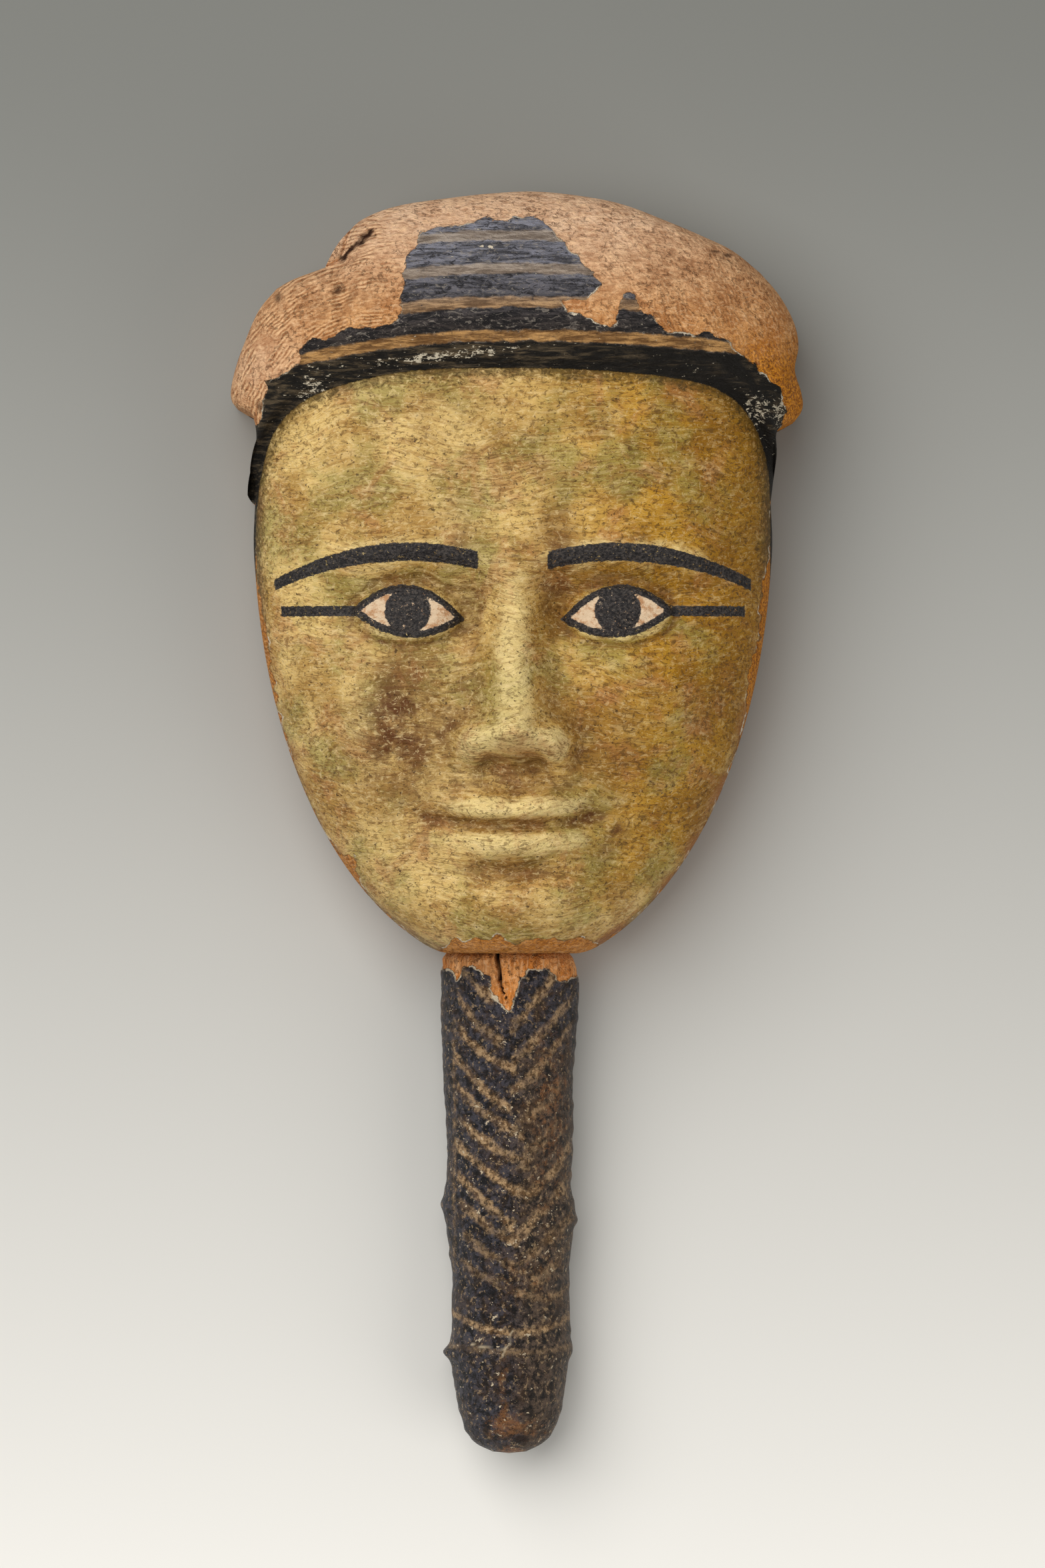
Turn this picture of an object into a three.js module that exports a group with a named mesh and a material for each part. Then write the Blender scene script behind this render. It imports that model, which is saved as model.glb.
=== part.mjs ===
// A painted wooden mummy mask and its false beard, lying face up on their flat backs.
// Millimetres, +Z up. +Y runs from the beard to the crown and +X to the right, looking down on the face.
// The mask is one carved block: a broad oval face and a wig cap that rises over the forehead and ends in two
// broken lobes at the temples. The beard is a second carved piece, a rod whose flat top meets the chin.
import * as THREE from "three";
import { ParametricGeometry } from "three/addons/geometries/ParametricGeometry.js";
import { mergeGeometries, mergeVertices } from "three/addons/utils/BufferGeometryUtils.js";

// Mask sizes
const MASK_HEIGHT = 280; // chin to crown
const MASK_WIDTH = 211; // across the two lobes of the wig
const MASK_DEPTH = 100; // flat back to the tip of the nose
const FACE_HEIGHT = 213.5; // chin to hairline, on the middle line
const FACE_WIDTH = 192; // temple to temple
const SIDE_WALL = 34; // height of the block's side where the face runs into it
const WIG_STEP = 3.5; // how far the wig stands over the forehead
const HEM_WIDTH = 8; // the slope between forehead and wig
const HAIR_INSET = 1; // how far inside the face's edge the hairline starts
const WORN_EDGE = 7; // radius worn onto the wig's outer edge
const CHIP_DEPTH = 4; // how far the face of the wig's split-off corner lies back
const BACK_BEVEL = 2.5; // worn corner round the flat back

// Beard sizes
const CHIN_GAP = 0.3; // clearance between the chin and the beard's top
const SEAT_MARGIN = 2; // how far the flat under the chin runs past the beard on each side
const BEARD_LENGTH = 185;
const BEARD_WIDTH = 50; // at its top
const BEARD_DEPTH = 41;
const TIP_LENGTH = 0.2 * BEARD_LENGTH; // the rounded end below the cord
const TIP_LIFT = 7; // how far the end curls up off the surface
const TIP_SWELL = 3; // how far the end swells in front
const CORD_PROUD = 1.6; // the raised cord round the beard, above its end
const CORD_WIDTH = 8;
const BEARD_X = -1.5; // the beard hangs a little left of the face's middle line

// Mesh fineness
const COLUMNS = 56;
const FACE_ROWS = 44;
const WIG_ROWS = 14;
const BEARD_SIDES = 28;
const BEARD_ROWS = 32;

const { abs, cos, exp, hypot, max, min, PI, sign, sin, sqrt } = Math;
const { lerp, smoothstep } = THREE.MathUtils;
const wood = (color, roughness) => new THREE.MeshStandardMaterial({ color, roughness, metalness: 0 });
const point = (x, y, z = 0) => new THREE.Vector3(x, y, z);
const through = (points) => new THREE.CatmullRomCurve3(points, false, "centripetal");
const hill = (x, y, midX, midY, spreadX, spreadY) =>
  exp(-(((x - midX) / spreadX) ** 2) - ((y - midY) / spreadY) ** 2);

// The face is laid out on the usual canon: its height in thirds, its width in fifths.
const third = FACE_HEIGHT / 3;
const fifth = FACE_WIDTH / 5;

// Face outline: an egg, widest a little above the eyes, cut flat under the chin where the beard sits.
const WIDEST = 2.3 * third;
const EGG_POWER = 2.1;
const SEAT_HALF = BEARD_WIDTH / 2 + SEAT_MARGIN;
const jawRise = (x) => 1 - (1 - (x / (FACE_WIDTH / 2)) ** 2) ** (1 / EGG_POWER);
const SEAT_CUT = (WIDEST * jawRise(SEAT_HALF)) / (1 - jawRise(SEAT_HALF));
const jawPoint = (side, angle) => {
  const up = WIDEST - (WIDEST + SEAT_CUT) * cos(angle) ** (2 / EGG_POWER);
  return point((side * sin(angle) * FACE_WIDTH) / 2, max(0, up));
};
const faceHalfWidth = (y) => {
  const below = max(0, (WIDEST - y) / (WIDEST + SEAT_CUT));
  return (FACE_WIDTH / 2) * sqrt(1 - below ** EGG_POWER);
};

// Wig outline, from the right temple over the crown to the left one, with its worn lobes and its split corner:
// shares of the mask's width, from the middle line, and of its height.
const WIG_EDGE = [
  [0.46, 0.65], [0.459, 0.68], [0.471, 0.692], [0.495, 0.701], [0.507, 0.717], [0.504, 0.737],
  [0.493, 0.766], [0.5, 0.797], [0.493, 0.828], [0.467, 0.864], [0.432, 0.894], [0.384, 0.922],
  [0.33, 0.941], [0.263, 0.962], [0.194, 0.982], [0.126, 0.993], [0.038, 1], [-0.043, 0.997],
  [-0.111, 0.991], [-0.192, 0.982], [-0.246, 0.969], [-0.281, 0.951], [-0.294, 0.922], [-0.308, 0.905],
  [-0.383, 0.884], [-0.413, 0.872], [-0.444, 0.844], [-0.468, 0.803], [-0.485, 0.767], [-0.493, 0.738],
  [-0.489, 0.721], [-0.472, 0.713], [-0.455, 0.706], [-0.447, 0.681], [-0.45, 0.655], [-0.458, 0.64],
  [-0.459, 0.628], [-0.458, 0.614], [-0.464, 0.603], [-0.458, 0.593],
].map(([across, up]) => point(across * MASK_WIDTH, up * MASK_HEIGHT));
const RIGHT_CORNER = 10; // where the wig's sides turn into its top
const LEFT_CORNER = 25;

// Hairline: a square-shouldered arch that springs from the temples, squarer on the right.
const HAIR_SPRING = 0.59 * MASK_HEIGHT;
const HAIR_RISE = FACE_HEIGHT - HAIR_SPRING;
const HAIR_HALF = FACE_WIDTH / 2 - HAIR_INSET;
const HAIR_POWER_LEFT = 4.2;
const HAIR_POWER_RIGHT = 6;
const hairPower = (across) => (across < 0 ? HAIR_POWER_LEFT : HAIR_POWER_RIGHT);
function hairPoint(share) {
  const across = -cos(PI * share);
  const x = HAIR_HALF * sign(across) * abs(across) ** (2 / hairPower(across));
  return point(x, HAIR_SPRING + HAIR_RISE * sin(PI * share));
}
// Distance past the hairline, positive on the wig, true close to the line.
function pastHairline(x, y) {
  const power = hairPower(x);
  const up = max(0, y - HAIR_SPRING) / HAIR_RISE;
  const across = abs(x) / HAIR_HALF;
  const slope = hypot((power * across ** (power - 1)) / HAIR_HALF, (2 * up) / HAIR_RISE);
  return (across ** power + up ** 2 - 1) / max(1e-3, slope);
}

// The nose: a ridge that widens from between the brows to a round tip, with a wing on each side.
const NOSE_ROOT = 1.95 * third;
const NOSE_TIP = 1.13 * third;
const NOSE_BASE = 0.945 * third;
function nose(x, y) {
  const run = (NOSE_ROOT - y) / (NOSE_ROOT - NOSE_TIP);
  const down = min(1, max(0, run));
  const height = lerp(0.14, 1, down ** 1.3) * smoothstep(run, -0.3, 0.2) * smoothstep(y, NOSE_BASE, NOSE_TIP);
  return height * exp(-(abs(x / (fifth * lerp(0.23, 0.36, down ** 2))) ** 2.3));
}

// Low carving: how far it stands over the face's plain curve, in hundredths of the mask's depth.
const EYE_LINE = 1.74 * third;
const MOUTH_LINE = 0.66 * third;
function carving(x, y) {
  const side = abs(x);
  const browLine = 2.08 * third - 0.12 * third * ((side - fifth) / fifth) ** 2;
  const brow = 2.6 * hill(side, y, 1.05 * fifth, browLine, 1.1 * fifth, 0.1 * third);
  const socket = 8.5 * hill(side, y, 0.95 * fifth, EYE_LINE + 0.05 * third, 0.72 * fifth, 0.17 * third);
  const innerCorner = 6 * hill(side, y, 0.45 * fifth, EYE_LINE + 0.03 * third, 0.2 * fifth, 0.17 * third);
  const ball = 1 - ((side - fifth) / (0.53 * fifth)) ** 2 - ((y - EYE_LINE) / (0.15 * third)) ** 2;
  const eyeball = 6.3 * sqrt(max(0, ball));
  const cheek = 6.5 * hill(side, y, 1.3 * fifth, 1.25 * third, 0.65 * fifth, 0.34 * third);
  const wing = 9 * hill(side, y, 0.41 * fifth, 1.07 * third, 0.15 * fifth, 0.11 * third);
  const muzzle = 5 * hill(x, y, 0, 0.7 * third, 0.85 * fifth, 0.3 * third);
  const lipLine = MOUTH_LINE + 0.035 * third * (x / (0.75 * fifth)) ** 2;
  const upperLip = 5.8 * hill(side, y, 0.2 * fifth, lipLine + 0.085 * third, 0.38 * fifth, 0.065 * third);
  const lowerLip = 6.6 * hill(x, y, 0, lipLine - 0.1 * third, 0.45 * fifth, 0.085 * third);
  const parting = 3 * hill(x, y, 0, lipLine, 0.64 * fifth, 0.04 * third);
  const mouthCorner = 2.4 * hill(side, y, 0.76 * fifth, MOUTH_LINE + 0.03 * third, 0.15 * fifth, 0.08 * third);
  const underLip = 3.4 * hill(x, y, 0, 0.42 * third, 0.45 * fifth, 0.07 * third);
  const chin = 6.2 * hill(x, y, 0, 0.24 * third, 0.48 * fifth, 0.16 * third);
  const raised = brow + eyeball + cheek + wing + muzzle + upperLip + lowerLip + chin;
  return ((raised - socket - innerCorner - parting - mouthCorner - underLip) * MASK_DEPTH) / 100;
}

// Height of the face over the flat back.
const FOREHEAD = 0.8 * MASK_DEPTH;
const JAW = 0.7 * MASK_DEPTH;
const CHIN_ROUND = 0.4 * third;
function plainFace(x, y) {
  const up = y / FACE_HEIGHT;
  const level = lerp(JAW, FOREHEAD, smoothstep(up, 0, 0.8));
  const round = lerp(0.45, 1, sqrt(max(0, 1 - max(0, 1 - y / CHIN_ROUND) ** 2)));
  const across = min(1, abs(x) / faceHalfWidth(y));
  const square = smoothstep(up, 0.2, 0.9);
  const section = (1 - across ** lerp(2.4, 3.4, square)) ** lerp(0.6, 0.5, square);
  return { height: SIDE_WALL + (level - SIDE_WALL) * round * section, fade: min(1, 1.6 * section) };
}
const NOSE_HEIGHT = MASK_DEPTH - plainFace(0, NOSE_TIP).height - carving(0, NOSE_TIP);
function faceHeight(x, y) {
  const { height, fade } = plainFace(x, y);
  return height + fade * (carving(x, y) + NOSE_HEIGHT * nose(x, y));
}

// Height of the wig over the flat back: a dome that stands over the hairline and rolls down towards the crown.
const DOME_MIDDLE = 0.536 * MASK_HEIGHT;
const DOME_HALF_WIDTH = 0.545 * MASK_WIDTH;
const DOME_HALF_HEIGHT = 0.493 * MASK_HEIGHT;
const dome = (x, y) =>
  max(0.02, 1 - abs(x / DOME_HALF_WIDTH) ** 3 - (max(0, y - DOME_MIDDLE) / DOME_HALF_HEIGHT) ** 3) ** 0.75;
const DOME_RISE = (FOREHEAD + WIG_STEP - SIDE_WALL) / dome(0, FACE_HEIGHT);
function wigHeight(x, y) {
  const splitCorner = smoothstep(-x / MASK_WIDTH, 0.25, 0.31) * smoothstep(y / MASK_HEIGHT, 0.78, 0.88);
  return SIDE_WALL + DOME_RISE * dome(x, y) - CHIP_DEPTH * splitCorner;
}

// The sides of the mask's outline, and the hairline that crosses it.
const JAW_CORNER = PI / 4;
const ARC = 12;
const jawArc = (side, from, to) =>
  Array.from({ length: ARC + 1 }, (_, i) => jawPoint(side, lerp(from, to, i / ARC)));
const temple = (side) => point(side * HAIR_HALF, HAIR_SPRING);
const faceSide = (side) => through([...jawArc(side, JAW_CORNER, PI / 2).slice(0, -1), temple(side)]);
const jaw = through([...jawArc(-1, JAW_CORNER, 0), ...jawArc(1, 0, JAW_CORNER).slice(1)]);
const HAIR_ARC = 40;
const hairline = through(Array.from({ length: HAIR_ARC + 1 }, (_, i) => hairPoint(i / HAIR_ARC)));
const wigLeft = through([temple(-1), ...WIG_EDGE.slice(LEFT_CORNER).reverse()]);
const wigRight = through([temple(1), ...WIG_EDGE.slice(0, RIGHT_CORNER + 1)]);
const wigTop = through(WIG_EDGE.slice(RIGHT_CORNER, LEFT_CORNER + 1).reverse());

// A grid stretched between four curves that meet at its corners. A positive crowding moves its columns apart in
// the middle and closer at the sides.
const crowded = (share, crowding) => share - (crowding * sin(2 * PI * share)) / (2 * PI);
function stretched(low, high, left, right, rows, crowding) {
  const ends = [low.getPointAt(0), low.getPointAt(1), high.getPointAt(0), high.getPointAt(1)];
  const grid = [];
  for (let row = 0; row <= rows; row++) {
    const v = crowded(row / rows, crowding);
    const sides = [left.getPointAt(v), right.getPointAt(v)];
    const line = [];
    for (let column = 0; column <= COLUMNS; column++) {
      const u = column / COLUMNS;
      const across = sides[0].clone().lerp(sides[1], u);
      const along = low.getPointAt(u).lerp(high.getPointAt(u), v);
      const corners = ends[0].clone().lerp(ends[1], u).lerp(ends[2].clone().lerp(ends[3], u), v);
      line.push(across.add(along).sub(corners));
    }
    grid.push(line);
  }
  return grid;
}
const front = [
  ...stretched(jaw, hairline, faceSide(-1), faceSide(1), FACE_ROWS, -0.25),
  ...stretched(hairline, wigTop, wigLeft, wigRight, WIG_ROWS, 0.2).slice(1),
];

// The outline as one ring, counterclockwise from the left of the jaw.
const lastRow = front[front.length - 1];
const rim = [
  ...front[0].slice(0, -1),
  ...front.slice(0, -1).map((row) => row[COLUMNS]),
  ...lastRow.slice(1).reverse(),
  ...front.map((row) => row[0]).reverse(),
];
const rimEdges = rim.slice(1).map((end, i) => new THREE.Line3(rim[i].clone(), end.clone()));
const nearest = point(0, 0);
const edgeDistance = (edge, p) => edge.closestPointToPoint(p, true, nearest).distanceTo(p);
const rimDistance = (p) => min(...rimEdges.map((edge) => edgeDistance(edge, p)));

// Lift every point of the front to its height.
function frontHeight(p) {
  const hem = smoothstep(pastHairline(p.x, p.y), 0, HEM_WIDTH);
  const inset = min(1, rimDistance(p) / WORN_EDGE);
  const worn = WORN_EDGE * (1 - sqrt(1 - (1 - inset) ** 2));
  return lerp(faceHeight(p.x, min(p.y, FACE_HEIGHT + HEM_WIDTH)), wigHeight(p.x, p.y) - worn, hem);
}
for (const p of front.flat()) p.z = frontHeight(p);

// A sheet through rows of points, and a fan that closes the end of one.
const indexed = (geometry) => {
  geometry.deleteAttribute("normal");
  geometry.deleteAttribute("uv");
  return mergeVertices(geometry, 1e-6);
};
function sheet(rows) {
  const [columns, steps] = [rows[0].length - 1, rows.length - 1];
  const at = (u, v, target) => target.copy(rows[Math.round(v * steps)][Math.round(u * columns)]);
  return indexed(new ParametricGeometry(at, columns, steps));
}
const fan = (ring, middle) => {
  const corners = ring.slice(1).flatMap((end, i) => [middle, ring[i], end]);
  return indexed(new THREE.BufferGeometry().setFromPoints(corners));
};
const closed = (...sheets) => mergeVertices(mergeGeometries(sheets), 1e-4);

const maskMiddle = point(0, MASK_HEIGHT / 2);
const backEdge = rim.map((p) => {
  const inward = maskMiddle.clone().sub(point(p.x, p.y)).setLength(BACK_BEVEL);
  return point(p.x, p.y).add(inward);
});
const bevelEdge = rim.map((p) => point(p.x, p.y, BACK_BEVEL));
const maskGeometry = closed(
  sheet(front),
  sheet([backEdge, bevelEdge, rim]),
  fan([...backEdge].reverse(), maskMiddle),
);

// Beard outline, from its top to its end: shares of its length, and of its width to each side of its axis.
const BEARD_EDGE = [
  [0, 0.484, 0.47], [0.046, 0.494, 0.506], [0.149, 0.494, 0.494], [0.255, 0.474, 0.464],
  [0.396, 0.452, 0.464], [0.467, 0.459, 0.447], [0.515, 0.473, 0.478], [0.61, 0.42, 0.445],
  [0.681, 0.408, 0.44], [0.78, 0.415, 0.435], [0.834, 0.408, 0.42], [0.898, 0.376, 0.391],
  [0.934, 0.342, 0.352], [0.96, 0.305, 0.31], [0.981, 0.235, 0.24], [0.996, 0.125, 0.13],
].map(([down, left, right]) =>
  point(BEARD_X - left * BEARD_WIDTH, -CHIN_GAP - down * BEARD_LENGTH, BEARD_X + right * BEARD_WIDTH),
);
const beardEdge = new THREE.CatmullRomCurve3(BEARD_EDGE, false, "catmullrom", 0.5);
const CORD_Y = -CHIN_GAP - 0.797 * BEARD_LENGTH;
const TIP_Y = -CHIN_GAP - BEARD_LENGTH;

// One ring of the beard: round in front, flat on the back, and fully round where its end lifts.
function beardRing(share) {
  const { x: left, y, z: right } = beardEdge.getPoint(share);
  const end = max(0, 1 - (y - TIP_Y) / TIP_LENGTH);
  const cord = CORD_PROUD * hill(0, y, 0, CORD_Y, 1, CORD_WIDTH / 2);
  const half = (right - left) / 2 + cord;
  const slim = lerp(BEARD_DEPTH, 0.9 * BEARD_DEPTH, smoothstep(-y, 0, 0.7 * BEARD_LENGTH));
  const closing = sqrt(max(0.01, 1 - end ** 3.2));
  const depth = (slim + cord + TIP_SWELL * sin(PI * min(1, end + 0.15))) * closing;
  const base = TIP_LIFT * end ** 2 + 0.42 * BEARD_DEPTH * (1 - closing);
  const lift = lerp(0.56, 0.5, smoothstep(end, 0, 0.6)) * depth;
  return Array.from({ length: BEARD_SIDES + 1 }, (_, i) => {
    const angle = (2 * PI * i) / BEARD_SIDES;
    return point((left + right) / 2 + half * sin(angle), y, base + max(0, depth - lift - lift * cos(angle)));
  });
}
const beardRings = Array.from({ length: BEARD_ROWS + 1 }, (_, i) => beardRing(i / BEARD_ROWS));
const [topRing, endRing] = [beardRings[0], beardRings[BEARD_ROWS]];
const centre = (ring, y) => new THREE.Box3().setFromPoints(ring).getCenter(point(0, 0)).setY(y);
const beardGeometry = closed(
  sheet(beardRings),
  fan([...topRing].reverse(), centre(topRing, -CHIN_GAP)),
  fan(endRing, centre(endRing, TIP_Y)),
);

const mask = new THREE.Mesh(maskGeometry, wood(0x9a8748, 0.8));
mask.name = "mask";
const beard = new THREE.Mesh(beardGeometry, wood(0x4a4a50, 0.75));
beard.name = "beard";

// Put the origin under the middle of the whole.
const whole = new THREE.Box3().setFromPoints([...front.flat(), ...beardRings.flat(), point(0, TIP_Y)]);
const middle = whole.getCenter(point(0, 0));
for (const piece of [mask, beard]) piece.geometry.translate(-middle.x, -middle.y, 0);

const group = new THREE.Group();
group.add(mask, beard);
export default group;
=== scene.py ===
import bpy
import numpy as np
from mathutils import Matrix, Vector, kdtree


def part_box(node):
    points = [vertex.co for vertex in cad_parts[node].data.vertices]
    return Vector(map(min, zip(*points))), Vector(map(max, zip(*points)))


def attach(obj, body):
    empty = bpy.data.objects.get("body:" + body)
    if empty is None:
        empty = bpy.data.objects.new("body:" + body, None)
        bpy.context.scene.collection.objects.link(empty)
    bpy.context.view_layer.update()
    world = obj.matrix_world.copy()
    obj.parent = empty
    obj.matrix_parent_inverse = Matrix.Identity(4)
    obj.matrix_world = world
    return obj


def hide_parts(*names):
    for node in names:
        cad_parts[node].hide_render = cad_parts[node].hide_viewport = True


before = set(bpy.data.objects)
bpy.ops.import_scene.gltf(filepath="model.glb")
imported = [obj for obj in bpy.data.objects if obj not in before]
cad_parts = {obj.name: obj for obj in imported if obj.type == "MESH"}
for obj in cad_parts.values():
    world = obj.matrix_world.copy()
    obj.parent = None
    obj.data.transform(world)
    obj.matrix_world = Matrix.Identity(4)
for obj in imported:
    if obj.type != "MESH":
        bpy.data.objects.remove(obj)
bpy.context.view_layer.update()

# The camera looks straight down on the mask, which lies on its back, as the photograph looks at it upright.
# It is far enough away that the nose hardly grows against the rim. The picture's frame is measured in
# millimetres at the height of the wig's edge.
PICTURE_HEIGHT = 2352
PICTURE_MIDDLE = (784, 1176)
WHOLE_MIDDLE = (775.5, 1236)
MM_PER_PIXEL = 280 / 1146
RIM_LEVEL = 0.055
CAMERA_DISTANCE = 3.6

metres_per_pixel = MM_PER_PIXEL / 1000
camera = bpy.data.objects.new("camera", bpy.data.cameras.new("camera"))
bpy.context.scene.collection.objects.link(camera)
bpy.context.scene.camera = camera
camera.location = (
    (PICTURE_MIDDLE[0] - WHOLE_MIDDLE[0]) * metres_per_pixel,
    (WHOLE_MIDDLE[1] - PICTURE_MIDDLE[1]) * metres_per_pixel,
    RIM_LEVEL + CAMERA_DISTANCE,
)
camera.data.sensor_fit = "VERTICAL"
camera.data.angle = 2 * np.arctan(PICTURE_HEIGHT * metres_per_pixel / 2 / CAMERA_DISTANCE)


# A pale floor, its colour graded from grey beyond the wig to near white below the beard as painted light
# falloff,
# in soft studio light: a wide key light high on the upper left, a weaker one on the right, and a pale room
# all round.
def srgb(red, green, blue):
    """A colour as a screen shows it, 0 to 255, for a shader's socket"""
    shares = np.array([red, green, blue]) / 255
    return (*np.where(shares <= 0.04045, shares / 12.92, ((shares + 0.055) / 1.055) ** 2.4), 1.0)


def mesh_object(name, points, faces):
    """An object from points in metres and rows of corner numbers"""
    mesh = bpy.data.meshes.new(name)
    mesh.from_pydata(points, [], faces)
    made = bpy.data.objects.new(name, mesh)
    bpy.context.scene.collection.objects.link(made)
    return made


def soft_light(name, place, size, watts, colour):
    """A square light that faces the mask"""
    lamp = bpy.data.objects.new(name, bpy.data.lights.new(name, "AREA"))
    bpy.context.scene.collection.objects.link(lamp)
    lamp.location = place
    lamp.rotation_euler = Vector(place).to_track_quat("Z", "Y").to_euler()
    lamp.data.size = size
    lamp.data.energy = watts
    lamp.data.color = colour


def node(tree, kind, inputs=(), **settings):
    """A shader node with these inputs, each one a value or another node's output"""
    made = tree.nodes.new(kind)
    for name, value in settings.items():
        setattr(made, name, value)
    for socket, value in dict(inputs).items():
        wire(made.inputs[socket], value)
    return made


def wire(socket, value):
    if isinstance(value, bpy.types.NodeSocket):
        socket.id_data.links.new(value, socket)
    else:
        socket.default_value = value


def calc(operation, *values):
    """Arithmetic on another node's output and what follows it"""
    made = node(values[0].id_data, "ShaderNodeMath", operation=operation)
    for socket, value in zip(made.inputs, values):
        wire(socket, value)
    return made.outputs[0]


def over(share, under, upper):
    """Colour upper laid over colour under"""
    return node(share.id_data, "ShaderNodeMix", {0: share, 6: under, 7: upper}, data_type="RGBA").outputs[2]


FLOOR_HALF = 3.0
GRADE_END = 0.32
GRADE_CURVE = 1.5
floor_corners = [(x * FLOOR_HALF, y * FLOOR_HALF, 0.0) for x, y in ((-1, -1), (1, -1), (1, 1), (-1, 1))]
floor = mesh_object("floor", floor_corners, [(0, 1, 2, 3)])
floor_finish = bpy.data.materials.new("pale floor")
floor_finish.use_nodes = True
tree = floor_finish.node_tree
floor_place = node(tree, "ShaderNodeTexCoord").outputs["Object"]
up_picture = node(tree, "ShaderNodeSeparateXYZ", {0: floor_place}).outputs["Y"]
# The grade is painted light: darker beyond the wig, lighter below the beard.
painted_falloff = {"Value": up_picture, "From Min": GRADE_END, "From Max": -GRADE_END}
painted_falloff = calc("POWER", node(tree, "ShaderNodeMapRange", painted_falloff).outputs["Result"], GRADE_CURVE)
floor_shader = tree.nodes["Principled BSDF"]
floor_shader.inputs["Roughness"].default_value = 0.9
wire(floor_shader.inputs["Base Color"], over(painted_falloff, srgb(121, 122, 118), srgb(251, 249, 244)))
floor.data.materials.append(floor_finish)

soft_light("key light", place=(-0.9, 0.78, 1.9), size=2.3, watts=51, colour=(1.0, 0.985, 0.96))
soft_light("side light", place=(1.5, -0.9, 1.3), size=1.4, watts=11, colour=(1.0, 0.97, 0.92))
room = bpy.data.worlds.new("pale room")
bpy.context.scene.world = room
room.use_nodes = True
room.node_tree.nodes["Background"].inputs["Color"].default_value = (1.0, 1.0, 0.98, 1.0)
room.node_tree.nodes["Background"].inputs["Strength"].default_value = 0.3
bpy.context.scene.view_settings.view_transform = "Standard"

# The mask is one block of wood, its face and wig cap carved in the round and its back flat. The wig's left
# corner has split away along the grain and its lobes at the temples are worn stumps. Lengths are in
# millimetres: x to the right of the face's middle, y up from the chin, z off the back.
mask_low, mask_high = (np.array(corner) * 1000 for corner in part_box("mask"))
mask_width, mask_height, mask_depth = mask_high - mask_low
face_height = 0.7625 * mask_height
face_width = 0.91 * mask_width
third = face_height / 3
fifth = face_width / 5
side_wall = 0.34 * mask_depth
forehead_level = 0.8 * mask_depth
jaw_level = 0.7 * mask_depth
carve = mask_depth / 100
BACK_BEVEL = 2.5
WIG_STEP = 3.5
HEM_WIDTH = 5.5
WORN_EDGE = 7.0
SPLIT_CORNER_DEPTH = 4.0
SEAT_HALF = 27.0
EGG_POWER = 2.1
HAIR_POWER_LEFT = 4.2
HAIR_POWER_RIGHT = 6

COLUMNS = 270
FACE_ROWS = 220
WIG_ROWS = 80
WALL_ROWS = 8

WIG_EDGE = [
    (0.46, 0.65), (0.459, 0.68), (0.471, 0.692), (0.495, 0.701), (0.507, 0.717), (0.504, 0.737),
    (0.493, 0.766), (0.5, 0.797), (0.493, 0.828), (0.467, 0.864), (0.432, 0.894), (0.384, 0.922),
    (0.33, 0.941), (0.263, 0.962), (0.194, 0.982), (0.126, 0.993), (0.038, 1), (-0.043, 0.997),
    (-0.111, 0.991), (-0.192, 0.982), (-0.246, 0.969), (-0.281, 0.951), (-0.294, 0.922), (-0.308, 0.905),
    (-0.383, 0.884), (-0.413, 0.872), (-0.444, 0.844), (-0.468, 0.803), (-0.485, 0.767), (-0.493, 0.738),
    (-0.489, 0.721), (-0.472, 0.713), (-0.455, 0.706), (-0.447, 0.681), (-0.45, 0.655), (-0.458, 0.64),
    (-0.459, 0.628), (-0.458, 0.614), (-0.464, 0.603), (-0.458, 0.593),
]
RIGHT_CORNER = 10
LEFT_CORNER = 25


def rise(value, low, high):
    """A smooth step from nought at low to one at high"""
    share = np.clip((value - low) / (high - low), 0, 1)
    return share * share * (3 - 2 * share)


def blend(a, b, share):
    return a + (b - a) * share


def hill(x, y, mid_x, mid_y, spread_x, spread_y):
    """A soft round hill, one high"""
    return np.exp(-(((x - mid_x) / spread_x) ** 2) - ((y - mid_y) / spread_y) ** 2)


def hills(x, y, ovals):
    """Soft hills summed: how high each one is, its middle and its spreads"""
    return sum(height * hill(x, y, *oval) for height, *oval in ovals)


def spline(points):
    """A smooth line of close points through the given ones"""
    p = np.array(points, float)
    p = np.vstack([2 * p[0] - p[1], p, 2 * p[-1] - p[-2]])
    t = np.linspace(0, 1, 33)[:-1, None]
    spans = []
    for a, b, c, d in zip(p, p[1:], p[2:], p[3:]):
        bend = (2 * a - 5 * b + 4 * c - d) * t**2 + (3 * b - a - 3 * c + d) * t**3
        spans.append(b + ((c - a) * t + bend) / 2)
    return np.vstack([*spans, p[-2:-1]])


def smooth_curve(points, shares):
    """Points at these shares of the length of a smooth curve through the given ones"""
    line = spline(points)
    travelled = np.insert(np.cumsum(np.linalg.norm(np.diff(line, axis=0), axis=1)), 0, 0)
    return np.column_stack([np.interp(shares * travelled[-1], travelled, line[:, k]) for k in (0, 1)])


# Plan of the mask: the jaw, the sides of the face, the hairline and the wig's edge.
widest = 2.3 * third
seat_rise = 1 - (1 - (SEAT_HALF / (face_width / 2)) ** 2) ** (1 / EGG_POWER)
seat_cut = widest * seat_rise / (1 - seat_rise)
hair_spring = 0.59 * mask_height
hair_rise = face_height - hair_spring
hair_half = face_width / 2 - 1


def jaw_arc(side, start, end):
    angle = np.linspace(start, end, 13)
    up = widest - (widest + seat_cut) * np.cos(angle) ** (2 / EGG_POWER)
    return list(zip(side * np.sin(angle) * face_width / 2, np.maximum(0, up)))


def face_side(side):
    return jaw_arc(side, np.pi / 4, np.pi / 2)[:-1] + [(side * hair_half, hair_spring)]


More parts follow.
